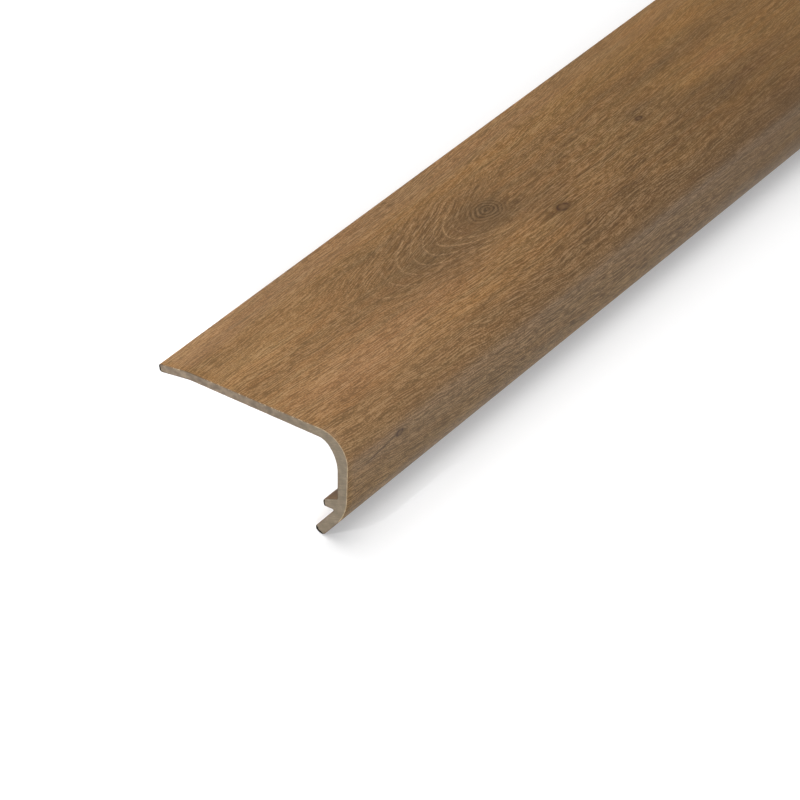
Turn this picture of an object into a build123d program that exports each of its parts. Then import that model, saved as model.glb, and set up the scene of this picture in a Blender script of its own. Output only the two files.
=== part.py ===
# Overlapping stair nosing: one length of extruded profile, wrapped with a
# wood-look film on its outer face.  The section is drawn as it sits on a stair
# (y backwards from the inner face of the drop, z up from the underside of the
# tread flange) and then laid down the way a loose length rests on a level
# floor: on the tip of its foot and on the tip of its back lip.
from build123d import *
import math
import os

# ---- driving dimensions, millimetres -------------------------------------
LENGTH = 1200.0          # stock length

TREAD_T_NOSE = 3.22      # tread flange, thickness at the nose
TREAD_T_BACK = 2.77      # tread flange, thickness where the lip starts
LIP_START_Y = 54.80      # where the underside bends down to the lip
LIP_LENGTH = 11.27       # lip, measured along its underside
LIP_ANGLE = 8.2          # lip droop, degrees
TIP_R = 0.90             # rounded corners of the lip tip

DROP_T = 3.74            # drop wall, thickness just under the nose
FRONT_LEAN = 1.43        # front face leans back by this much, degrees
NOSE_R = 10.10           # outer radius of the nose
INNER_R_TOP = 5.00       # inner curve, arc beside the tread underside
INNER_R_FRONT = 12.20    # inner curve, arc beside the drop
INNER_TANGENT_Z = -9.88  # where the inner curve runs into the flat of the drop

STUB_TOP_Z = -19.62      # stub leg, height of its top face at the drop
STUB_ANGLE = 21.0        # stub leg, slope of its top face below horizontal, degrees
STUB_UNDER_Z = -24.08    # stub leg, height of its underside, carried on to the drop
STUB_UNDER_ANGLE = 1.5   # stub leg, slope of its underside below horizontal, degrees
STUB_END_Y = 5.53        # stub leg, sharp top corner of its end
STUB_END_LEAN = 15.0     # stub leg, lean of its end face, degrees
STUB_R_TOP = 1.60        # stub leg, end rounding above
STUB_R_BOTTOM = 0.50     # stub leg, end rounding below
STUB_ROOT_R = 0.60       # fillet between the drop and the stub leg

FOOT_ANGLE = 51.8        # foot leg, slope below horizontal, degrees
FOOT_T = 3.65            # foot leg, thickness
FOOT_END = (5.67, -35.78)  # foot leg, sharp outer corner of its end (y, z)
FOOT_R_OUT = 2.00        # foot leg, end rounding on the outer side
FOOT_R_IN = 1.45         # foot leg, end rounding on the inner side
FOOT_BEND_R = 16.60      # outer bend from the front face into the foot
NOTCH_R = 0.35           # root of the notch between stub and foot

LIP_BEND_R_TOP = 20.0
LIP_BEND_R_UNDER = 8.0


# ---- small plane geometry helpers ----------------------------------------
def unit(deg):
    return (math.cos(math.radians(deg)), math.sin(math.radians(deg)))


def meet(p, d, q, e):
    """Where the line through p along d meets the line through q along e."""
    det = d[0] * -e[1] + e[0] * d[1]
    rx, rz = q[0] - p[0], q[1] - p[1]
    t = (rx * -e[1] + e[0] * rz) / det
    return (p[0] + t * d[0], p[1] + t * d[1])


def rounded_corner(a, v, b, r):
    """Tangent points, arc midpoint and arc centre of a corner v, between a and b."""
    da = (a[0] - v[0], a[1] - v[1])
    db = (b[0] - v[0], b[1] - v[1])
    la, lb = math.hypot(*da), math.hypot(*db)
    da = (da[0] / la, da[1] / la)
    db = (db[0] / lb, db[1] / lb)
    half = math.acos(max(-1.0, min(1.0, da[0] * db[0] + da[1] * db[1]))) / 2
    tang = r / math.tan(half)
    mid = (da[0] + db[0], da[1] + db[1])
    lm = math.hypot(*mid)
    mid = (mid[0] / lm, mid[1] / lm)
    reach = r / math.sin(half)
    start = (v[0] + da[0] * tang, v[1] + da[1] * tang)
    end = (v[0] + db[0] * tang, v[1] + db[1] * tang)
    centre = (v[0] + mid[0] * reach, v[1] + mid[1] * reach)
    middle = (v[0] + mid[0] * (reach - r), v[1] + mid[1] * (reach - r))
    return start, middle, end, centre


# ---- corners of the section, (y, z, rounding) ----------------------------
taper = math.degrees(math.atan2(TREAD_T_NOSE - TREAD_T_BACK, LIP_START_Y - 7.0))
top_at = (7.0, TREAD_T_NOSE)                # a point of the tread's top face
top_dir = unit(-taper)                      # towards the back
front_at = (-DROP_T, TREAD_T_NOSE - NOSE_R)
front_dir = unit(-90 + FRONT_LEAN)          # downwards
foot_dir = unit(-FOOT_ANGLE)                # towards the foot's tip
foot_up = (-foot_dir[1], foot_dir[0])       # from its outer to its inner face
stub_dir = unit(-STUB_ANGLE)                # along its top, towards the stub's end
stub_under_dir = unit(-STUB_UNDER_ANGLE)
stub_end_dir = unit(-90 - STUB_END_LEAN)    # down the stub's end
lip_dir = unit(-LIP_ANGLE)                  # towards the lip's tip
lip_up = (-lip_dir[1], lip_dir[0])

nose = meet(top_at, top_dir, front_at, front_dir)
bend = meet(front_at, front_dir, FOOT_END, foot_dir)
foot_in = (FOOT_END[0] + FOOT_T * foot_up[0], FOOT_END[1] + FOOT_T * foot_up[1])
stub_top = meet((0.0, STUB_TOP_Z), stub_dir, (STUB_END_Y, 0.0), (0.0, 1.0))
stub_low = meet(stub_top, stub_end_dir, (0.0, STUB_UNDER_Z), stub_under_dir)
notch = meet(foot_in, foot_dir, stub_low, stub_under_dir)
root = (0.0, STUB_TOP_Z)

# the inner curve: two tangent arcs, a tight one under the tread and a wide one
# down the drop, which make the bend thicker than the walls beside it
gap = INNER_R_FRONT - INNER_R_TOP
rise = -INNER_R_TOP - INNER_TANGENT_Z
run = math.sqrt(gap * gap - rise * rise)
join_dir = (-run / gap, rise / gap)
join = (INNER_R_FRONT + INNER_R_FRONT * join_dir[0],
        INNER_TANGENT_Z + INNER_R_FRONT * join_dir[1])
slope = (join_dir[1], -join_dir[0])
inner_top = meet(join, slope, (0.0, 0.0), (1.0, 0.0))
inner_front = meet(join, slope, (0.0, 0.0), (0.0, 1.0))

lip_under = (LIP_START_Y, 0.0)
tip_low = (lip_under[0] + LIP_LENGTH * lip_dir[0], LIP_LENGTH * lip_dir[1])
tip_top = (tip_low[0] + TREAD_T_BACK * lip_up[0], tip_low[1] + TREAD_T_BACK * lip_up[1])
lip_top = meet(top_at, top_dir, tip_top, lip_dir)

corners = [
    (nose, NOSE_R),
    (bend, FOOT_BEND_R),
    (FOOT_END, FOOT_R_OUT),
    (foot_in, FOOT_R_IN),
    (notch, NOTCH_R),
    (stub_low, STUB_R_BOTTOM),
    (stub_top, STUB_R_TOP),
    (root, STUB_ROOT_R),
    (inner_front, INNER_R_FRONT),
    (inner_top, INNER_R_TOP),
    (lip_under, LIP_BEND_R_UNDER),
    (tip_low, TIP_R),
    (tip_top, TIP_R),
    (lip_top, LIP_BEND_R_TOP),
]
n = len(corners)
arcs = [
    rounded_corner(corners[i - 1][0], corners[i][0], corners[(i + 1) % n][0], corners[i][1])
    for i in range(n)
]

# ---- how a loose length rests --------------------------------------------
# The floor line touches the roundings of the foot's tip and of the lip's tip.
foot_c, lip_c = arcs[2][3], arcs[11][3]
rest = math.atan2(lip_c[1] - foot_c[1], lip_c[0] - foot_c[0])
rest += math.asin((FOOT_R_OUT - TIP_R) / math.dist(foot_c, lip_c))
cos_r, sin_r = math.cos(-rest), math.sin(-rest)


def laid(p):
    return (p[0] * cos_r - p[1] * sin_r, p[0] * sin_r + p[1] * cos_r)


low_z = laid(foot_c)[1] - FOOT_R_OUT
# the front-most point of the laid section is on the nose arc or the foot bend,
# the rear-most is on the lip tip
fronts = [laid(arcs[0][3])[0] - NOSE_R, laid(arcs[1][3])[0] - FOOT_BEND_R]
mid_y = (min(fronts) + max(laid(arcs[11][3])[0], laid(arcs[12][3])[0]) + TIP_R) / 2


def place(p):
    q = laid(p)
    return (-LENGTH / 2, q[0] - mid_y, q[1] - low_z)


# ---- the solid ------------------------------------------------------------
edges = []
for i in range(n):
    s, m, e, _ = arcs[i]
    edges.append(ThreePointArc(place(s), place(m), place(e)))
    nxt = arcs[(i + 1) % n][0]
    if math.dist(e, nxt) > 1e-4:
        edges.append(Line(place(e), place(nxt)))
section = Face(Wire(edges))
solid = Solid.extrude(section, Vector(LENGTH, 0, 0))

os.makedirs("parts", exist_ok=True)
solid.label = "stair_nosing"
export_step(solid, "parts/stair_nosing.step")

box = solid.bounding_box()
print("rest tilt %.3f deg" % math.degrees(rest))
print("box", box.min, box.max, "volume mm3 %.0f" % solid.volume, "section mm2 %.2f" % section.area)
ys = [p[0] for a in arcs for p in a[:3]]
zs = [p[1] for a in arcs for p in a[:3]]
print("section as fitted: width %.2f height %.2f" % (max(ys) - min(ys), max(zs) - min(zs)))
mid_under = place(((arcs[9][2][0] + arcs[10][0][0]) / 2, 0.0))
mid_drop = place((0.0, (arcs[7][2][1] + arcs[8][0][1]) / 2))
print("underside flat: y %.2f to %.2f, middle" % (arcs[9][2][0], arcs[10][0][0]), mid_under)
print("drop flat: z %.2f to %.2f, middle" % (arcs[7][2][1], arcs[8][0][1]), mid_drop)
print("underside normal (0, %.6f, %.6f)" % laid((0.0, -1.0)))
print("drop normal (0, %.6f, %.6f)" % laid((1.0, 0.0)))
for name, a in zip("nose bend foot_out foot_in notch stub_low stub_top root inner_front inner_top lip_under tip_low tip_top lip_top".split(), arcs):
    print("%-12s" % name, " ".join("(%.3f, %.3f)" % p for p in a), " laid centre (%.3f, %.3f)" % place(a[3])[1:])
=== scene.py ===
import math

import bpy
import numpy as np
from mathutils import Matrix, Vector
from mathutils.geometry import delaunay_2d_cdt


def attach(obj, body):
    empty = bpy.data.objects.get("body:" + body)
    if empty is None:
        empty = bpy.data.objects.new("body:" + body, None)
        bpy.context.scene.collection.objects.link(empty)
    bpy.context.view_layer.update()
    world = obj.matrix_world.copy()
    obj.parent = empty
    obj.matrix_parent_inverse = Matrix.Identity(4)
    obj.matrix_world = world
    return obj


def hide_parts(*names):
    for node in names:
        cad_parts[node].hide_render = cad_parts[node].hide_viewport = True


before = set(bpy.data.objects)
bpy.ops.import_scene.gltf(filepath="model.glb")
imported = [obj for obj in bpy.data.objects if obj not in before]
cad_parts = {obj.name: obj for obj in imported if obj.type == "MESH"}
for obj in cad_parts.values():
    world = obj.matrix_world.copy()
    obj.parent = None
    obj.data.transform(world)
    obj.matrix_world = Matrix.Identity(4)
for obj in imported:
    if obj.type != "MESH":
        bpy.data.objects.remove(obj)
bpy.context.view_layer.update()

MM = 0.001

# ---------------------------------------------------------------------------
# The section, as on a stair: y backwards from the inner face of the drop, z up
# from the underside of the tread flange, millimetres.  Same numbers as the CAD.
# ---------------------------------------------------------------------------
LENGTH = 1200.0
TREAD_T_NOSE, TREAD_T_BACK = 3.22, 2.77
LIP_START_Y, LIP_LENGTH, LIP_ANGLE = 54.80, 11.27, 8.2
TIP_R = 0.90
DROP_T, FRONT_LEAN, NOSE_R = 3.74, 1.43, 10.10
INNER_R_TOP, INNER_R_FRONT, INNER_TANGENT_Z = 5.00, 12.20, -9.88
STUB_TOP_Z, STUB_ANGLE, STUB_END_Y, STUB_END_LEAN = -19.62, 21.0, 5.53, 15.0
STUB_UNDER_Z, STUB_UNDER_ANGLE = -24.08, 1.5
STUB_R_TOP, STUB_R_BOTTOM, STUB_ROOT_R = 1.60, 0.50, 0.60
FOOT_ANGLE, FOOT_T, FOOT_END, FOOT_BEND_R = 51.8, 3.65, (5.67, -35.78), 16.60
FOOT_R_OUT, FOOT_R_IN = 2.00, 1.45
NOTCH_R = 0.35
LIP_BEND_R_TOP, LIP_BEND_R_UNDER = 20.0, 8.0


def unit(deg):
    return (math.cos(math.radians(deg)), math.sin(math.radians(deg)))


def meet(p, d, q, e):
    det = d[0] * -e[1] + e[0] * d[1]
    rx, rz = q[0] - p[0], q[1] - p[1]
    t = (rx * -e[1] + e[0] * rz) / det
    return (p[0] + t * d[0], p[1] + t * d[1])


def rounded_corner(a, v, b, r):
    da = np.array(a, float) - v
    db = np.array(b, float) - v
    da, db = da / np.linalg.norm(da), db / np.linalg.norm(db)
    half = math.acos(max(-1.0, min(1.0, float(da @ db)))) / 2
    tang, reach = r / math.tan(half), r / math.sin(half)
    mid = (da + db) / np.linalg.norm(da + db)
    v = np.array(v, float)
    return v + da * tang, v + db * tang, v + mid * reach


taper = math.degrees(math.atan2(TREAD_T_NOSE - TREAD_T_BACK, LIP_START_Y - 7.0))
top_at, top_dir = (7.0, TREAD_T_NOSE), unit(-taper)
front_at, front_dir = (-DROP_T, TREAD_T_NOSE - NOSE_R), unit(-90 + FRONT_LEAN)
foot_dir = unit(-FOOT_ANGLE)
foot_up = (-foot_dir[1], foot_dir[0])
stub_dir, stub_under_dir = unit(-STUB_ANGLE), unit(-STUB_UNDER_ANGLE)
stub_end_dir = unit(-90 - STUB_END_LEAN)
lip_dir = unit(-LIP_ANGLE)
lip_up = (-lip_dir[1], lip_dir[0])
nose = meet(top_at, top_dir, front_at, front_dir)
bend = meet(front_at, front_dir, FOOT_END, foot_dir)
foot_in = (FOOT_END[0] + FOOT_T * foot_up[0], FOOT_END[1] + FOOT_T * foot_up[1])
stub_top = meet((0.0, STUB_TOP_Z), stub_dir, (STUB_END_Y, 0.0), (0.0, 1.0))
stub_low = meet(stub_top, stub_end_dir, (0.0, STUB_UNDER_Z), stub_under_dir)
notch = meet(foot_in, foot_dir, stub_low, stub_under_dir)
gap = INNER_R_FRONT - INNER_R_TOP
rise = -INNER_R_TOP - INNER_TANGENT_Z
run = math.sqrt(gap * gap - rise * rise)
join_dir = (-run / gap, rise / gap)
join = (INNER_R_FRONT * (1 + join_dir[0]), INNER_TANGENT_Z + INNER_R_FRONT * join_dir[1])
slope = (join_dir[1], -join_dir[0])
inner_top = meet(join, slope, (0.0, 0.0), (1.0, 0.0))
inner_front = meet(join, slope, (0.0, 0.0), (0.0, 1.0))
lip_under = (LIP_START_Y, 0.0)
tip_low = (lip_under[0] + LIP_LENGTH * lip_dir[0], LIP_LENGTH * lip_dir[1])
tip_top = (tip_low[0] + TREAD_T_BACK * lip_up[0], tip_low[1] + TREAD_T_BACK * lip_up[1])
lip_top = meet(top_at, top_dir, tip_top, lip_dir)

# corner, rounding, segments on the arc, spacing on the flat that follows it.
# It starts at the lip's tip, so that the filmed outer face comes first.
CORNERS = [
    ("tip_top", tip_top, TIP_R, 7, 0.9),
    ("lip_top", lip_top, LIP_BEND_R_TOP, 4, 0.8),
    ("nose", nose, NOSE_R, 22, 0.8),
    ("bend", bend, FOOT_BEND_R, 13, 1.2),
    ("foot_out", FOOT_END, FOOT_R_OUT, 9, 0.4),
    ("foot_in", foot_in, FOOT_R_IN, 8, 1.6),
    ("notch", notch, NOTCH_R, 7, 1.0),
    ("stub_low", stub_low, STUB_R_BOTTOM, 6, 0.6),
    ("stub_top", stub_top, STUB_R_TOP, 7, 1.3),
    ("root", (0.0, STUB_TOP_Z), STUB_ROOT_R, 5, 1.6),
    ("inner_front", inner_front, INNER_R_FRONT, 9, 9.0),
    ("inner_top", inner_top, INNER_R_TOP, 6, 3.4),
    ("lip_under", lip_under, LIP_BEND_R_UNDER, 3, 2.0),
    ("tip_low", tip_low, TIP_R, 7, 0.7),
]


def section():
    """Points round the section and their outward normals, (n, 2) each, and the index where each corner's arc starts and ends."""
    n = len(CORNERS)
    arcs = [
        rounded_corner(CORNERS[i - 1][1], CORNERS[i][1], CORNERS[(i + 1) % n][1], CORNERS[i][2])
        for i in range(n)
    ]
    pts, nor, marks = [], [], {}
    for i, (name, _, r, seg, step) in enumerate(CORNERS):
        s, e, c = arcs[i]
        a0 = math.atan2(*(s - c)[::-1])
        d = math.atan2(*(e - c)[::-1]) - a0
        d = (d + math.pi) % (2 * math.pi) - math.pi
        out = 1.0 if d > 0 else -1.0  # the walk is anticlockwise, so a left turn is convex
        first = len(pts)
        for k in range(seg + 1):
            a = a0 + d * k / seg
            w = np.array([math.cos(a), math.sin(a)])
            p = c + r * w
            if pts and np.linalg.norm(p - pts[-1]) < 1e-4:
                continue
            pts.append(p)
            nor.append(out * w)
        marks[name] = (first, len(pts) - 1)
        nxt = arcs[(i + 1) % n][0]
        flat = np.linalg.norm(nxt - e)
        cuts = max(1, round(flat / step))
        t = (nxt - e) / max(flat, 1e-9)
        for k in range(1, cuts):
            pts.append(e + (nxt - e) * k / cuts)
            nor.append(np.array([t[1], -t[0]]))
    return np.array(pts), np.array(nor), marks, {c[0]: a for c, a in zip(CORNERS, arcs)}


P, N, MARK, ARC = section()
NP = len(P)

# how a loose length lies: on the foot's tip and on the lip's tip
foot_c, lip_c = ARC["foot_out"][2], ARC["tip_low"][2]
REST = math.atan2(lip_c[1] - foot_c[1], lip_c[0] - foot_c[0])
REST += math.asin((FOOT_R_OUT - TIP_R) / math.dist(foot_c, lip_c))
CR, SR = math.cos(REST), math.sin(REST)


def turn(p):
    p = np.asarray(p, float)
    return np.stack([p[..., 0] * CR + p[..., 1] * SR, -p[..., 0] * SR + p[..., 1] * CR], -1)


low_z = turn(foot_c)[1] - FOOT_R_OUT
front_y = min(turn(ARC["nose"][2])[0] - NOSE_R, turn(ARC["bend"][2])[0] - FOOT_BEND_R)
back_y = max(turn(lip_c)[0], turn(ARC["tip_top"][2])[0]) + TIP_R
OFFSET = np.array([(front_y + back_y) / 2, low_z])


def laid(p):
    """Section millimetres to the row frame's (y, z) in millimetres."""
    return turn(p) - OFFSET


# distance along the surface from the back edge of the film
step_len = np.linalg.norm(np.roll(P, -1, 0) - P, axis=1)
S = np.concatenate([[0.0], np.cumsum(step_len)])  # S[NP] closes the loop
S0 = float(S[MARK["tip_top"][1]])  # the film's zero is where the lip's flat top starts
FILM_END = MARK["bend"][1] - 1  # the film stops in the bend into the foot
film_col = np.zeros(NP, bool)  # column i is the strip from point i to point i + 1
film_col[:FILM_END] = True

# ---------------------------------------------------------------------------
# Knots of the printed oak, in (x from the near end, s across the film), mm:
# x, s, radius, eye length, eye width, how far the grain is pushed aside
# ---------------------------------------------------------------------------
KNOTS = [
    (125.5, 30.6, 3.8, 15.0, 7.0, 1.6),
    (140.5, 49.0, 1.5, 11.0, 4.5, 0.75),
    (199.0, 38.8, 0.85, 16.0, 6.0, 0.55),
    (25.8, 77.1, 0.95, 12.0, 5.0, 0.5),
    (388.0, 61.0, 1.3, 14.0, 6.0, 0.65),
    (470.0, 24.0, 2.4, 20.0, 8.0, 1.2),
    (640.0, 45.0, 1.2, 13.0, 5.0, 0.6),
    (790.0, 20.0, 1.6, 16.0, 6.0, 0.8),
    (905.0, 52.0, 2.8, 18.0, 8.0, 1.4),
    (1075.0, 33.0, 1.3, 12.0, 5.0, 0.65),
]
# flat-sawn figures: where the nested arches close, and how they open out
FIGURES = [
    # x, s, arch opening to the near side, right-hand closing, from, to
    (125.5, 30.6, 8.0, 9.0, -1e3, 330.0),
    (470.0, 24.0, 6.0, 11.0, 330.0, 690.0),
    (905.0, 52.0, 7.0, 10.0, 690.0, 5e3),
]


# lighter and darker patches of the oak print, some of them painted light and shade as marked below: x, s, half
# length, half width, amount
TONES = [
    # painted light: the near end lighter, partly the print's tone and partly painted light falling off along the
    # length; the broad darker patches further along carry the same fall-off
    (0.0, 30.0, 62.0, 60.0, 0.16),
    (30.0, 50.0, 45.0, 14.0, 0.08),
    (100.0, 30.0, 24.0, 11.0, -0.15),
    (165.0, 42.0, 60.0, 20.0, -0.06),
    (205.0, 38.5, 22.0, 6.0, -0.10),
    (228.0, 38.0, 10.0, 4.0, 0.10),
    (232.0, 60.0, 90.0, 16.0, -0.10),
    (260.0, 40.0, 80.0, 60.0, -0.06),
    (60.0, 3.0, 130.0, 8.0, 0.13),
    (0.0, 3.0, 40.0, 8.0, 0.16),
    # painted shade: darker along the bottom of the front and into the bend, the whole length
    (100.0, 92.0, 900.0, 11.0, -0.16),
    (250.0, 82.0, 140.0, 14.0, -0.13),
    (40.0, 71.0, 60.0, 6.0, 0.07),
    (165.0, 46.0, 38.0, 8.0, -0.05),
    (248.0, 63.0, 25.0, 7.0, -0.06),
    (182.0, 58.0, 18.0, 4.0, 0.05),
    (140.5, 49.0, 9.0, 6.0, -0.15),
    (203.0, 35.0, 9.0, 4.0, -0.12),
    (199.0, 43.5, 10.0, 3.0, 0.08),
    (60.0, 20.0, 26.0, 8.0, -0.04),
    (260.0, 61.0, 110.0, 8.0, -0.05),
    (147.0, 28.0, 15.0, 10.0, 0.09),
    (124.0, 41.5, 13.0, 4.0, 0.05),
    (185.0, 66.0, 50.0, 4.0, -0.06),
    (104.0, 26.0, 34.0, 16.0, -0.03),
    (118.0, 58.0, 46.0, 6.0, -0.09),
    (245.0, 66.0, 40.0, 5.0, -0.12),
    (185.0, 15.0, 50.0, 10.0, 0.05),
    (470.0, 24.0, 40.0, 12.0, -0.15),
    (905.0, 52.0, 42.0, 12.0, -0.15),
    (700.0, 30.0, 120.0, 30.0, 0.08),
    (1180.0, 40.0, 90.0, 50.0, 0.08),
]
WARM, GREY = (0.32, 0.145, 0.062, 1.0), (0.185, 0.125, 0.075, 1.0)
TINTS = [
    (32.0, 49.0, 30.0, 10.0, 0.35, WARM),
    (75.0, 46.0, 30.0, 6.0, 0.18, WARM),
    (246.0, 37.0, 9.0, 4.0, 0.30, WARM),
    (104.0, 31.0, 30.0, 12.0, 0.08, GREY),
    (202.0, 38.5, 18.0, 6.0, 0.10, GREY),
    (560.0, 50.0, 60.0, 9.0, 0.25, WARM),
    (460.0, 24.0, 36.0, 12.0, 0.30, GREY),
    (820.0, 30.0, 70.0, 10.0, 0.25, WARM),
    (895.0, 52.0, 36.0, 12.0, 0.30, GREY),
]


# ---------------------------------------------------------------------------
# Mesh
# ---------------------------------------------------------------------------
CHAMFER = 0.06  # softened edge of the saw cuts, mm
X_STEP = 3.2
xs = np.concatenate(
    [[0.0, CHAMFER], np.arange(X_STEP, LENGTH - 0.5 * X_STEP, X_STEP), [LENGTH - CHAMFER, LENGTH]]
)
NX = len(xs)


def emboss(x, s):
    """Low relief of the film, mm, from sums of sines that run along the grain."""
    h = np.zeros(np.broadcast(x, s).shape)
    rng = np.random.default_rng(41)
    for _ in range(26):
        lam_s, lam_x = rng.uniform(2.6, 9.0), rng.uniform(60.0, 220.0)
        a, b = rng.uniform(0, 2 * math.pi, 2)
        h += 0.0022 * (lam_s / 5.0) * np.sin(2 * math.pi * s / lam_s + a + 1.4 * np.sin(2 * math.pi * x / lam_x + b))
    for kx, ks, r, el, ew, push in KNOTS:
        q = ((x - kx) / (1.6 * r + 1.5)) ** 2 + ((s - ks) / (1.1 * r + 1.0)) ** 2
        h -= 0.05 * np.exp(-q)
    return h


def ring(k, x, inset):
    """One station: the section at x, moved inwards by inset, as row-frame metres."""
    depth = np.zeros(NP)
    idx = np.arange(FILM_END + 1)
    depth[idx] = emboss(np.array(x), S[idx] - S0)
    fade = np.clip(np.minimum(S[idx] - 1.0, S[FILM_END] - 1.0 - S[idx]) / 2.0, 0, 1)
    depth[idx] *= fade * (1.0 if 0 < k < NX - 1 else 0.0)
    yz = laid(P + N * (np.minimum(depth, 0.0) - inset)[:, None])
    return np.concatenate([np.full((NP, 1), x - LENGTH / 2), yz], 1) * MM


verts = [ring(k, x, CHAMFER if k in (0, NX - 1) else 0.0) for k, x in enumerate(xs)]
V = np.concatenate(verts)
faces, mats, uv_film, uv_bake, smooth = [], [], [], [], []

FILM, BODY, CUT, EDGE, TIP, RIM = range(6)
# round the saw cuts: the film's bare edge outside, painted shade as near-black edges at the three tips
cut_mat = np.full(NP, RIM)
cut_mat[MARK["tip_top"][1] + 1 : FILM_END] = EDGE
for a, b in (
    (MARK["foot_out"][0] + 3, MARK["foot_in"][1] - 1),
    (MARK["stub_low"][0] + 1, MARK["stub_top"][0] + 4),
    (MARK["tip_low"][0] + 1, NP),
    (0, 4),
):
    cut_mat[a:b] = TIP
width = np.where(cut_mat == EDGE, 0.24, np.where(cut_mat == TIP, 0.40, 0.16))
width[MARK["foot_out"][1] - 4 : MARK["foot_in"][1] - 2] = 0.75
width[MARK["tip_low"][0] + 3 :] = 0.55
width[MARK["lip_under"][0] + 2 : MARK["tip_low"][0] + 1] = 0.24
width = (np.roll(width, 1) + width) / 2  # at the points, from the strips on both sides

# where each surface lies on the bake's map: film in three strips, then the bare
# side in three thinner strips, then the two saw cuts
PX = 1024.0
DX, DS_FILM, DS_BODY = 2.18, 2.20, 0.56
STRIP = 400.0
film_len, body_len = S[FILM_END], S[NP] - S[FILM_END]


def bake_uv(x, i, film, strip):
    px = 9 + (np.clip(x, CHAMFER, LENGTH - CHAMFER) - strip * STRIP) * DX
    px += -3 if x < CHAMFER / 2 else 3 if x > LENGTH - CHAMFER / 2 else 0
    if film:
        py = 6 + strip * (film_len * DS_FILM + 6) + S[i] * DS_FILM
    else:
        py = 6 + 3 * (film_len * DS_FILM + 6) + strip * (body_len * DS_BODY + 5) + (S[i] - S[FILM_END]) * DS_BODY
    return (px / PX, py / PX)


for k in range(NX - 1):
    end_ring = k == 0 or k == NX - 2
    strip = min(2, int((xs[k] + xs[k + 1]) / 2 // STRIP))
    for i in range(NP):
        j = (i + 1) % NP
        film = bool(film_col[i])
        faces.append((k * NP + i, k * NP + j, (k + 1) * NP + j, (k + 1) * NP + i))
        mats.append(int(cut_mat[i]) if end_ring else FILM if film else BODY)
        smooth.append(not end_ring)
        for kk, ii in ((k, i), (k, i + 1), (k + 1, i + 1), (k + 1, i)):
            uv_film.append(tuple(P[ii % NP]) if end_ring else (xs[kk], S[ii] - S0))
            uv_bake.append(bake_uv(xs[kk], ii, film, strip))

# saw-cut ends: an edge band all round, then the bare core
for side, k in ((0, 0), (1, NX - 1)):
    base, start = k * NP, len(V)
    flat = P - N * CHAMFER
    inner = P - N * (CHAMFER + width)[:, None]
    V = np.concatenate([V, np.concatenate([np.full((NP, 1), xs[k] - LENGTH / 2), laid(inner)], 1) * MM])
    pos = {base + i: flat[i] for i in range(NP)}
    pos.update({start + i: inner[i] for i in range(NP)})
    new = [
        ((base + i, start + i, start + (i + 1) % NP, base + (i + 1) % NP), int(cut_mat[i])) for i in range(NP)
    ]
    out = delaunay_2d_cdt([Vector(p) for p in inner], [], [list(range(NP))], 1, 1e-7)
    new += [(tuple(start + out[3][v][0] for v in tri), CUT) for tri in out[2]]
    for f, mat in new:
        a, b, c = (pos[v] for v in f[:3])
        left = (b[0] - a[0]) * (c[1] - a[1]) - (b[1] - a[1]) * (c[0] - a[0]) > 0
        if left != (side == 1):
            f = f[::-1]
        faces.append(f)
        mats.append(mat)
        smooth.append(False)
        for v in f:
            y, z = pos[v]
            uv_film.append((y, z))
            uv_bake.append(((900 + (z + 37) * 2.6) / PX, (14 + side * 200 + (y + 5) * 2.55) / PX))

mesh = bpy.data.meshes.new("stair_nosing_film")
mesh.from_pydata(V.tolist(), [], [tuple(int(v) for v in f) for f in faces])
for name, data in (("Film", uv_film), ("OFBake", uv_bake)):
    layer = mesh.uv_layers.new(name=name)
    layer.data.foreach_set("uv", np.array(data, np.float32).ravel())
mesh.polygons.foreach_set("material_index", np.array(mats, np.int32))
mesh.polygons.foreach_set("use_smooth", np.array(smooth, bool))
mesh.uv_layers.active = mesh.uv_layers["OFBake"]
mesh.update()
nosing = bpy.data.objects.new("stair_nosing_piece", mesh)
bpy.context.scene.collection.objects.link(nosing)


# ---------------------------------------------------------------------------
# Materials
# ---------------------------------------------------------------------------
def lin(r, g, b):
    def f(c):
        c /= 255.0
        return c / 12.92 if c <= 0.04045 else ((c + 0.055) / 1.055) ** 2.4

    return (f(r), f(g), f(b), 1.0)


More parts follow.
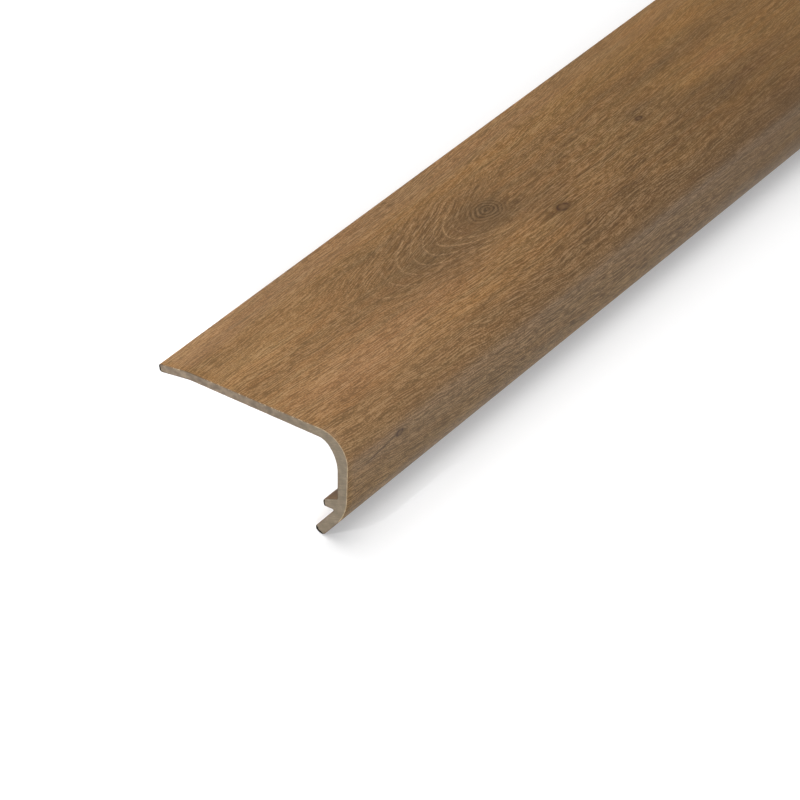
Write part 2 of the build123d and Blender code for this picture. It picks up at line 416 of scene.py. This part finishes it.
class Graph:
    def __init__(self, name):
        self.mat = bpy.data.materials.new(name)
        self.mat.use_nodes = True
        self.nt = self.mat.node_tree
        self.nt.nodes.clear()
        self.out = self.nt.nodes.new("ShaderNodeOutputMaterial")
        self.bsdf = self.nt.nodes.new("ShaderNodeBsdfPrincipled")
        self.nt.links.new(self.bsdf.outputs[0], self.out.inputs[0])

    def put(self, value, socket):
        if isinstance(value, bpy.types.NodeSocket):
            self.nt.links.new(value, socket)
        else:
            socket.default_value = value

    def m(self, op, a, b=None, c=None, clamp=False):
        n = self.nt.nodes.new("ShaderNodeMath")
        n.operation, n.use_clamp = op, clamp
        for v, s in zip((a, b, c), n.inputs):
            if v is not None:
                self.put(v, s)
        return n.outputs[0]

    def add(self, *v):
        out = v[0]
        for x in v[1:]:
            out = self.m("ADD", out, x)
        return out

    def sub(self, a, b):
        return self.m("SUBTRACT", a, b)

    def mul(self, *v):
        out = v[0]
        for x in v[1:]:
            out = self.m("MULTIPLY", out, x)
        return out

    def madd(self, a, b, c):
        return self.m("MULTIPLY_ADD", a, b, c)

    def sq(self, a):
        return self.m("MULTIPLY", a, a)

    def gauss(self, a):
        """exp(-a)"""
        return self.m("EXPONENT", self.mul(a, -1.0))

    def bump_at(self, x, s, x0, s0, rx, rs):
        """A soft round mask about (x0, s0)."""
        u = self.mul(self.sub(x, x0), 1.0 / rx)
        v = self.mul(self.sub(s, s0), 1.0 / rs)
        return self.gauss(self.add(self.sq(u), self.sq(v)))

    def xyz(self, x, y, z):
        n = self.nt.nodes.new("ShaderNodeCombineXYZ")
        for v, s in zip((x, y, z), n.inputs):
            self.put(v, s)
        return n.outputs[0]

    def noise(self, x, y, z=0.0, detail=2.0, rough=0.5, kind="FBM"):
        n = self.nt.nodes.new("ShaderNodeTexNoise")
        n.noise_dimensions = "3D"
        n.noise_type = kind
        n.inputs["Scale"].default_value = 1.0
        n.inputs["Detail"].default_value = detail
        n.inputs["Roughness"].default_value = rough
        self.put(self.xyz(x, y, z), n.inputs["Vector"])
        return n.outputs["Fac"]

    def step(self, v, lo, hi, to_lo=0.0, to_hi=1.0):
        n = self.nt.nodes.new("ShaderNodeMapRange")
        n.interpolation_type = "SMOOTHSTEP"
        self.put(v, n.inputs["Value"])
        for name, x in (("From Min", lo), ("From Max", hi), ("To Min", to_lo), ("To Max", to_hi)):
            n.inputs[name].default_value = x
        return n.outputs["Result"]

    def fit(self, v, lo, hi, to_lo=0.0, to_hi=1.0, clamp=True):
        n = self.nt.nodes.new("ShaderNodeMapRange")
        n.clamp = clamp
        self.put(v, n.inputs["Value"])
        for name, x in (("From Min", lo), ("From Max", hi), ("To Min", to_lo), ("To Max", to_hi)):
            n.inputs[name].default_value = x
        return n.outputs["Result"]

    def mix(self, f, a, b, mode="MIX"):
        n = self.nt.nodes.new("ShaderNodeMix")
        n.data_type, n.blend_type = "RGBA", mode
        n.clamp_factor = True
        self.put(f, n.inputs["Factor"])
        ins = [s for s in n.inputs if s.type == "RGBA"]
        self.put(a, ins[0])
        self.put(b, ins[1])
        return [s for s in n.outputs if s.type == "RGBA"][0]

    def ramp(self, f, stops):
        n = self.nt.nodes.new("ShaderNodeValToRGB")
        self.put(f, n.inputs[0])
        e = n.color_ramp.elements
        while len(e) > 1:
            e.remove(e[-1])
        e[0].position, e[0].color = stops[0]
        for p, c in stops[1:]:
            x = e.new(p)
            x.color = c
        return n.outputs[0]

    def scale(self, colour, f):
        """colour times a number that varies"""
        n = self.nt.nodes.new("ShaderNodeVectorMath")
        n.operation = "SCALE"
        self.put(colour, n.inputs[0])
        self.put(f, n.inputs["Scale"])
        return n.outputs[0]

    def bump(self, height, strength, distance):
        n = self.nt.nodes.new("ShaderNodeBump")
        n.inputs["Strength"].default_value = strength
        n.inputs["Distance"].default_value = distance
        self.put(height, n.inputs["Height"])
        return n.outputs[0]

    def uv(self, name):
        n = self.nt.nodes.new("ShaderNodeUVMap")
        n.uv_map = name
        sep = self.nt.nodes.new("ShaderNodeSeparateXYZ")
        self.nt.links.new(n.outputs[0], sep.inputs[0])
        return sep.outputs[0], sep.outputs[1]

    def set(self, **inputs):
        for k, v in inputs.items():
            self.put(v, self.bsdf.inputs[k.replace("_", " ")])
        return self.mat


def oak_film():
    g = Graph("oak_film")
    X, S_ = g.uv("Film")
    # slow wander of the grain
    w1 = g.noise(g.mul(X, 1 / 140.0), g.mul(S_, 1 / 40.0), 2.3, 1.0)
    w2 = g.noise(g.mul(X, 1 / 26.0), g.mul(S_, 1 / 14.0), 8.1, 1.0)
    s1 = g.add(S_, g.madd(w1, 3.0, -1.5), g.madd(w2, 3.2, -1.6))

    # grain pushed aside by each knot
    T = s1
    kn = []
    for kx, ks, r, el, ew, push in KNOTS:
        u, v = g.sub(X, kx), g.sub(S_, ks)
        e = g.gauss(g.add(g.sq(g.mul(u, 1 / el)), g.sq(g.mul(v, 1 / ew))))
        side = g.m("DIVIDE", v, g.m("SQRT", g.madd(v, v, 1.2 * r * r)))
        T = g.sub(T, g.mul(side, e, push))
        kn.append((u, v, e, r))

    # nested arches of the flat-sawn figure, where they are plain, and where the
    # fibres lean up and down as they pass the knot at its head
    PHI = GRAD = near = lean_up = lean_down = None
    for fx, fs, op, close, a, b in FIGURES:
        u, v = g.sub(X, fx), g.sub(T, fs)
        neg, pos = g.m("MAXIMUM", g.mul(u, -1.0), 0.0), g.m("MAXIMUM", u, 0.0)
        q = g.m("DIVIDE", g.mul(neg, neg, op), g.add(neg, 4.0))
        pr = g.m("DIVIDE", pos, g.madd(pos, 1.0 / close, 1.0))
        pr2 = g.mul(g.sq(pr), g.gauss(g.mul(pos, 1 / 45.0)))
        phi = g.m("SQRT", g.add(g.sq(v), q, pr2, 0.2))
        share = g.step(X, a - 45, a + 45) if a > 0 else None
        PHI = phi if PHI is None else g.add(g.mul(PHI, g.sub(1.0, share)), g.mul(phi, share))
        grad = g.m("DIVIDE", g.m("SQRT", g.madd(v, v, op * op / 4)), g.add(phi, 1.0))
        GRAD = grad if a < 0 else g.add(g.mul(GRAD, g.sub(1.0, share)), g.mul(grad, share))
        m = g.bump_at(X, S_, fx - 25, fs + 2, 40.0, 18.0)
        near = m if near is None else g.add(near, m)
        up = g.bump_at(X, S_, fx - 27, fs - 8, 38.0, 8.5)
        lean_up = up if lean_up is None else g.add(lean_up, up)
        down = g.bump_at(X, S_, fx - 38, fs + 9, 30.0, 7.0)
        lean_down = down if lean_down is None else g.add(lean_down, down)

    # fibres: fine dashes, mostly along the length, with their own lean here and there
    drift = g.sub(g.mul(g.m("MINIMUM", X, 115.0), 0.075), g.fit(X, 115.0, 250.0, 0.0, 3.4))
    wob = g.noise(g.mul(X, 1 / 15.0), g.mul(S_, 1 / 4.0), 4.4, 1.0)
    t0 = g.sub(g.madd(wob, 0.6, T), drift)

    def fibres(lean, seed):
        t = g.madd(X, -lean, t0)
        long_ = g.noise(g.mul(X, 1 / 14.0), g.mul(t, 1 / 0.38), seed, 0.0)
        short = g.noise(g.mul(X, 1 / 3.4), g.mul(t, 1 / 0.31), seed + 10.0, 0.0)
        return g.sub(g.add(g.mul(long_, 1.05), g.mul(short, 1.15)), 1.10)

    def blend(a, b, w):
        return g.add(a, g.mul(g.sub(b, a), g.m("MINIMUM", w, 1.0)))

    fib = fibres(0.0, 7.0)
    fib = blend(fib, fibres(-0.07, 33.0), g.step(S_, 25.0, 13.0))
    fib = blend(fib, fibres(-0.30, 53.0), g.mul(lean_up, 1.4))
    fib = blend(fib, fibres(0.04, 73.0), g.m("MAXIMUM", g.step(S_, 64.0, 78.0), g.mul(lean_down, 1.3)))

    # ------ tone ------
    zone = g.noise(g.mul(X, 1 / 120.0), g.mul(T, 1 / 15.0), 5.2, 2.0, 0.5)
    streak = g.noise(g.mul(X, 1 / 55.0), g.mul(PHI, 1 / 2.1), 1.7, 2.0, 0.55)
    fine = g.noise(g.mul(X, 1 / 22.0), g.mul(t0, 1 / 1.0), 3.1, 1.0, 0.6)
    tone = g.add(
        g.madd(zone, 0.75, 0.085),
        g.madd(streak, 0.30, -0.15),
        g.madd(fine, 0.15, -0.075),
    )
    for x0, s0, rx, rs, amount in TONES:
        tone = g.add(tone, g.mul(g.bump_at(X, T, x0, s0, rx, rs), amount))
    col = g.ramp(
        tone,
        [
            (0.0, lin(91, 64, 35)),
            (0.30, lin(119, 86, 48)),
            (0.60, lin(143, 104, 59)),
            (1.0, lin(170, 127, 77)),
        ],
    )
    # warmer and greyer patches of the print
    for x0, s0, rx, rs, amount, tint in TINTS:
        col = g.mix(g.mul(g.bump_at(X, T, x0, s0, rx, rs), amount), col, tint)

    # redder and more olive streaks
    hue = g.noise(g.mul(X, 1 / 34.0), g.mul(t0, 1 / 3.2), 15.0, 1.0, 0.6)
    n = g.nt.nodes.new("ShaderNodeVectorMath")
    n.operation = "MULTIPLY"
    g.put(col, n.inputs[0])
    g.put(g.xyz(g.madd(hue, 0.18, 0.91), g.add(g.madd(hue, -0.06, 1.08), g.step(X, 40.0, 110.0, 0.0, -0.035)), g.add(g.madd(hue, -0.30, 1.27), g.step(S_, 70.0, 84.0, 0.0, -0.36), g.step(X, 40.0, 110.0, 0.0, -0.165), g.step(X, 130.0, 200.0, 0.0, -0.08), g.step(S_, 12.0, 4.0, 0.0, 0.07))), n.inputs[1])
    col = n.outputs[0]

    # painted sheen: the nose and the front mixed toward a greyer brown, standing in for the sky's reflection on them
    col = g.mix(g.step(S_, 57.0, 67.0, 0.0, 0.42), col, lin(120, 95, 70))

    # rings of the arches: thin pale lines, broken up, with a darker side
    wav = g.noise(g.mul(X, 1 / 26.0), g.mul(S_, 1 / 9.0), 6.6, 1.0)
    turn_no = g.add(g.mul(PHI, 1 / 1.65), g.madd(wav, 0.5, -0.25 - 11.5 / 1.65 + 50.5), g.mul(fib, 0.22))
    off = g.mul(g.sub(g.m("FRACT", turn_no), 0.5), 1.65)
    off = g.m("DIVIDE", off, g.m("MINIMUM", g.m("MAXIMUM", GRAD, 0.3), 1.0))
    patchy = g.step(g.noise(g.mul(X, 1 / 3.0), g.mul(S_, 1 / 2.0), 12.0, 1.0), 0.34, 0.54)
    open_ = g.mul(near, g.step(PHI, 8.5, 11.0))
    ring = g.mul(g.gauss(g.sq(g.mul(off, 1 / 0.30))), open_, patchy)
    col = g.mix(g.mul(ring, 0.68), col, lin(170, 136, 95))
    dark_ring = g.mul(g.gauss(g.sq(g.mul(g.sub(off, 0.9), 1 / 0.6))), open_)
    col = g.mix(g.mul(dark_ring, 0.14), col, lin(90, 66, 43))

    # knots
    nest = eyes = None
    for n, (u, v, e, r) in enumerate(kn):
        wob = g.noise(g.mul(u, 1 / (1.4 * r)), g.mul(v, 1 / (1.4 * r)), 3.0 + n, 1.0)
        ahead_, behind = (1.35, 2.0) if r > 2 else (1.45, 1.45)
        long_ = g.add(g.mul(g.m("MAXIMUM", u, 0.0), 1 / ahead_), g.mul(g.m("MINIMUM", u, 0.0), 1 / behind))
        rr = g.m("SQRT", g.add(g.sq(long_), g.sq(g.mul(v, 1 / (1.18 if r > 2 else 1.0)))))
        rr = g.add(rr, g.madd(wob, (0.42 if r > 2 else 0.16) * r, (-0.21 if r > 2 else -0.08) * r))
        halo = g.gauss(g.sq(g.mul(rr, 1 / ((1.05 if r > 2 else 1.3) * r + 0.6))))
        col = g.mix(g.mul(halo, 0.60 if r > 2 else 0.42), col, lin(84, 63, 34))
        if r > 2:  # a tight nest of rings
            turns = g.m("COSINE", g.mul(rr, 2 * math.pi / 1.1))
            in_knot = g.gauss(g.sq(g.sq(g.mul(rr, 1 / (1.4 * r)))))
            uneven = g.step(g.noise(g.mul(u, 1 / 3.2), g.mul(v, 1 / 1.6), 44.0 + n, 1.0), 0.36, 0.60, 0.30, 1.0)
            col = g.mix(g.mul(g.step(turns, 0.2, 1.0), in_knot, uneven, 0.64), col, lin(142, 113, 79))
            col = g.mix(g.mul(g.step(turns, -0.2, -1.0), in_knot, 0.58), col, lin(60, 46, 22))
            nest = in_knot if nest is None else g.add(nest, in_knot)
            heart = g.gauss(g.sq(g.mul(rr, 1 / 1.1)))
            col = g.mix(g.mul(heart, 0.10), col, lin(60, 46, 22))
        else:  # a small dark eye
            rim = g.gauss(g.sq(g.mul(g.sub(rr, r), 1 / (0.26 * r + 0.12))))
            broken = g.step(g.noise(g.mul(u, 1 / (1.3 * r)), g.mul(v, 1 / (0.9 * r)), 40.0 + n, 1.0), 0.36, 0.58, 0.40, 1.0)
            tail = g.gauss(g.add(g.sq(g.mul(u, 1 / (3.6 * r))), g.sq(g.mul(v, 1 / (0.55 * r + 0.1)))))
            col = g.mix(g.mul(tail, 0.38), col, lin(72, 46, 22))
            col = g.mix(g.mul(rim, broken, 0.84), col, lin(60, 34, 12))
            core = g.gauss(g.sq(g.mul(rr, 1 / (0.5 * r))))
            col = g.mix(g.mul(core, 0.42), col, lin(128, 100, 70))
            still = g.mul(g.gauss(g.sq(g.sq(g.mul(rr, 1 / (1.7 * r))))), 0.75)
            eyes = still if eyes is None else g.add(eyes, still)

    # a broken darker line where the tread turns into the nose
    seam = g.mul(g.gauss(g.sq(g.mul(g.sub(S_, 60.4), 1 / 0.7))), g.step(g.noise(g.mul(X, 1 / 7.0), 0.5, 31.0, 1.0), 0.40, 0.62))
    col = g.mix(g.mul(seam, 0.22), col, lin(66, 45, 27))

    # the fibres' light and dark, partly printed and partly painted highlight and shade of the embossed pores, and a
    # fine grit between them
    grit = g.noise(g.mul(X, 1 / 0.75), g.mul(t0, 1 / 0.33), 23.0, 0.0)
    calm = g.mul(g.madd(nest, -0.5, 1.0), g.sub(1.0, eyes))
    calm = g.mul(calm, g.step(X, 160.0, 250.0, 1.0, 0.60), g.step(S_, 6.0, 20.0, 0.82, 1.0), g.step(S_, 52.0, 62.0, 1.0, 0.92), g.step(S_, 68.0, 80.0, 1.0, 1.20))
    calm = g.mul(calm, g.madd(near, -0.2, 1.0), g.step(X, 40.0, 80.0, 1.0, 1.12))
    tick = g.mul(g.step(g.add(fib, g.madd(grit, 0.8, -0.4)), -0.36, 0.36, -0.5, 0.5), calm)
    col = g.scale(col, g.madd(tick, 0.72, 1.0))
    # painted highlight on the pores' lit edges, mixed into the print's pale ticks
    col = g.mix(g.fit(tick, 0.1, 0.6, 0.0, 0.25), col, lin(186, 162, 132))
    # painted shade: darker and less blue toward the bottom of the front and into the bend
    col = g.mix(g.step(S_, 72.0, 84.0), col, (0.95, 0.895, 0.735, 1.0), "MULTIPLY")
    col = g.mix(g.step(S_, 86.0, 92.0), col, (0.895, 0.87, 0.62, 1.0), "MULTIPLY")

    # a fine check running out of the knot on the front
    cu, cv = g.sub(X, 16.7), g.madd(X, 0.128, g.sub(S_, 79.94))
    check = g.gauss(g.add(g.sq(g.sq(g.mul(cu, 1 / 8.5))), g.sq(g.mul(cv, 1 / 0.36))))
    col = g.mix(g.mul(check, 0.80), col, lin(64, 37, 14))

    height = g.add(g.mul(tick, 0.5), g.mul(fine, 0.4))
    rough = g.fit(g.madd(tick, -0.25, zone), 0.2, 0.8, 0.46, 0.62)
    return g.set(Base_Color=col, Roughness=rough, Normal=g.bump(height, 0.30, 0.00010), Specular_IOR_Level=0.3)


def body_plastic():
    g = Graph("core_extruded")
    X, S_ = g.uv("Film")
    line = g.noise(g.mul(X, 1 / 300.0), g.mul(S_, 1 / 0.7), 0.4, 2.0, 0.6)
    blot = g.noise(g.mul(X, 1 / 40.0), g.mul(S_, 1 / 9.0), 3.4, 2.0)
    col = g.ramp(g.add(g.mul(line, 0.5), g.mul(blot, 0.5)), [(0.3, lin(116, 91, 66)), (0.7, lin(140, 114, 87))])
    rough = g.fit(blot, 0.3, 0.7, 0.42, 0.56)
    return g.set(Base_Color=col, Roughness=rough, Normal=g.bump(line, 0.2, 0.0001), Specular_IOR_Level=0.45)


def cut_plastic():
    g = Graph("core_sawn")
    Y, Z = g.uv("Film")
    saw = g.noise(g.mul(g.madd(Y, 0.35, Z), 1 / 0.3), g.mul(g.madd(Z, -0.35, Y), 1 / 7.0), 1.0, 2.0, 0.6)
    blot = g.noise(g.mul(Y, 1 / 2.4), g.mul(Z, 1 / 2.4), 9.0, 2.0)
    grit = g.noise(g.mul(Y, 1 / 0.4), g.mul(Z, 1 / 0.4), 19.0, 1.0)
    f = g.add(g.mul(saw, 0.35), g.mul(blot, 0.45), g.mul(grit, 0.2))
    col = g.ramp(f, [(0.36, lin(126, 113, 94)), (0.52, lin(142, 128, 108)), (0.66, lin(162, 147, 126))])
    col = g.mix(g.step(Y, 6.0, 30.0, 0.0, 0.55), col, g.ramp(blot, [(0.36, lin(98, 80, 66)), (0.62, lin(142, 124, 104))]))
    rough = g.fit(f, 0.3, 0.7, 0.6, 0.8)
    return g.set(
        Base_Color=col,
        Roughness=rough,
        Normal=g.bump(g.add(saw, g.mul(grit, 0.5)), 0.3, 0.0001),
        Specular_IOR_Level=0.25,
    )


def film_edge():
    g = Graph("film_edge")
    Y, Z = g.uv("Film")
    n = g.noise(g.mul(Y, 1 / 1.3), g.mul(Z, 1 / 1.3), 2.0, 2.0, 0.6)
    # clean line round the nose and down the drop, only burrs and chips along the tread
    on = g.m("MAXIMUM", g.step(Y, 12.0, 6.0), g.step(n, 0.53, 0.60))
    pale = g.ramp(n, [(0.36, lin(158, 136, 106)), (0.64, lin(196, 174, 142))])
    col = g.mix(on, lin(128, 104, 78), pale)
    col = g.mix(g.mul(g.step(Y, 47.0, 51.0), g.step(Y, 59.0, 56.0), 0.7), col, lin(82, 63, 45))
    return g.set(
        Base_Color=col,
        Roughness=g.fit(n, 0.3, 0.7, 0.55, 0.75),
        Normal=g.bump(n, 0.3, 0.0001),
        Specular_IOR_Level=0.25,
    )


def tip_edge():
    g = Graph("tip_edge_painted_shade")
    Y, Z = g.uv("Film")
    n = g.noise(g.mul(Y, 1 / 0.9), g.mul(Z, 1 / 0.9), 5.0, 2.0, 0.6)
    # painted shade: near-black colour for the rounded cut edges at the three tips, which turn away from the light
    col = g.ramp(n, [(0.3, lin(9, 7, 5)), (0.7, lin(26, 21, 16))])
    return g.set(
        Base_Color=col,
        Roughness=g.fit(n, 0.3, 0.7, 0.6, 0.8),
        Normal=g.bump(n, 0.3, 0.0001),
        Specular_IOR_Level=0.08,
    )


def cut_rim():
    g = Graph("core_rim")
    Y, Z = g.uv("Film")
    n = g.noise(g.mul(Y, 1 / 1.1), g.mul(Z, 1 / 1.1), 6.0, 2.0, 0.6)
    col = g.ramp(n, [(0.35, lin(104, 84, 64)), (0.65, lin(134, 112, 90))])
    # painted shade: the rim darkened toward the lip, where the rounded underside edge of the cut turns away from the
    # light
    col = g.mix(g.step(Y, 51.0, 56.0, 0.0, 0.75), col, lin(62, 47, 35))
    return g.set(
        Base_Color=col,
        Roughness=g.fit(n, 0.3, 0.7, 0.55, 0.75),
        Normal=g.bump(n, 0.3, 0.0001),
        Specular_IOR_Level=0.25,
    )


for make in (oak_film, body_plastic, cut_plastic, film_edge, tip_edge, cut_rim):
    mesh.materials.append(make())

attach(nosing, "root")
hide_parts("stair_nosing")

# ---------------------------------------------------------------------------
# Camera: the photograph's view, turned with the profile as it lies
# ---------------------------------------------------------------------------
UNIT = 0.29  # millimetres per pixel at the near end
AX = np.array([0.58761253, -0.46459807, 0.66246521])  # the stair's x, y, z in camera space
AY = np.array([-0.80909779, -0.34598201, 0.4750339])
AZ = np.array([0.00850121, -0.81513501, -0.57920864])
FOCAL = 4265.09  # pixels, on an 800 pixel frame
near = np.array([337.4965 - 400, 444.83 - 400, FOCAL]) * UNIT
eye = -np.array([near @ AX, near @ AY, near @ AZ])  # from the near end's inner corner
basis = np.stack([AX, AY, AZ])  # rows: world axes in camera space (x right, y down, z ahead)
right, down, ahead = basis[:, 0], basis[:, 1], basis[:, 2]


def to_row(v, place=False):
    yz = turn(v[1:]) - (OFFSET if place else 0)
    return Vector((v[0] - (LENGTH / 2 if place else 0), yz[0], yz[1]))


cam_data = bpy.data.cameras.new("camera")
cam_data.sensor_width = 36.0
cam_data.lens = 36.0 * FOCAL / 800.0
cam_data.clip_start, cam_data.clip_end = 0.01, 20.0
cam = bpy.data.objects.new("camera", cam_data)
bpy.context.scene.collection.objects.link(cam)
r_, u_, b_ = to_row(right), to_row(-down), to_row(-ahead)
cam.matrix_world = Matrix.Translation(to_row(eye, True) * MM) @ Matrix((r_, u_, b_)).transposed().to_4x4()
bpy.context.scene.camera = cam

# ---------------------------------------------------------------------------
# Floor and light
# ---------------------------------------------------------------------------
floor_mesh = bpy.data.meshes.new("floor")
floor_mesh.from_pydata([(-6, -6, 0), (6, -6, 0), (6, 6, 0), (-6, 6, 0)], [], [(0, 1, 2, 3)])
floor = bpy.data.objects.new("floor", floor_mesh)
bpy.context.scene.collection.objects.link(floor)
g = Graph("floor_white")
speck = g.nt.nodes.new("ShaderNodeTexNoise")
speck.inputs["Scale"].default_value = 3.0
g.set(
    Base_Color=g.ramp(speck.outputs["Fac"], [(0.3, (0.922, 0.93, 0.94, 1)), (0.7, (0.942, 0.95, 0.96, 1))]),
    Roughness=0.9,
    Specular_IOR_Level=0.1,
    Emission_Color=(0.935, 0.975, 1.0, 1),
    Emission_Strength=0.16,
)
floor_mesh.materials.append(g.mat)

world = bpy.data.worlds.new("studio")
bpy.context.scene.world = world
world.use_nodes = True
bg = world.node_tree.nodes["Background"]
bg.inputs[0].default_value = (0.94, 0.975, 1.03, 1.0)
bg.inputs[1].default_value = 0.30


def area(name, where, aim, size, power, colour=(1, 1, 1)):
    data = bpy.data.lights.new(name, "AREA")
    data.shape = "RECTANGLE"
    data.size, data.size_y = size
    data.energy = power
    data.color = colour
    o = bpy.data.objects.new(name, data)
    bpy.context.scene.collection.objects.link(o)
    o.location = where
    o.rotation_mode = "QUATERNION"
    o.rotation_quaternion = (Vector(aim) - Vector(where)).to_track_quat("-Z", "Y")
    return o


area("key", (-0.75, 0.53, 1.38), (-0.45, 0.0, 0.0), (1.1, 1.1), 18.2, (1.0, 0.96, 0.92))
area("front_fill", (-1.1, -1.2, 0.62), (-0.5, 0.0, 0.0), (0.9, 0.5), 5.2, (0.95, 0.98, 1.0))

# a soft pool of light on the floor at the open end, so that the hollow reads white
spot = bpy.data.lights.new("floor_pool", "SPOT")
spot.energy = 95.0
spot.spot_size, spot.spot_blend = math.radians(3.8), 0.55
spot.shadow_soft_size = 0.01
pool = bpy.data.objects.new("floor_pool", spot)
bpy.context.scene.collection.objects.link(pool)
pool.location = Vector((-0.588, 0.003, 0.0)) + 1.2 * Vector((-0.78, 0.23, 0.58))
pool.rotation_mode = "QUATERNION"
pool.rotation_quaternion = (Vector((-0.588, 0.003, 0.0)) - pool.location).to_track_quat("-Z", "Y")
lit = bpy.data.collections.new("floor_only")
lit.objects.link(floor)
pool.light_linking.receiver_collection = lit

view = bpy.context.scene.view_settings
view.view_transform = "Standard"
view.look = "None"
view.exposure, view.gamma = 0.0, 1.0
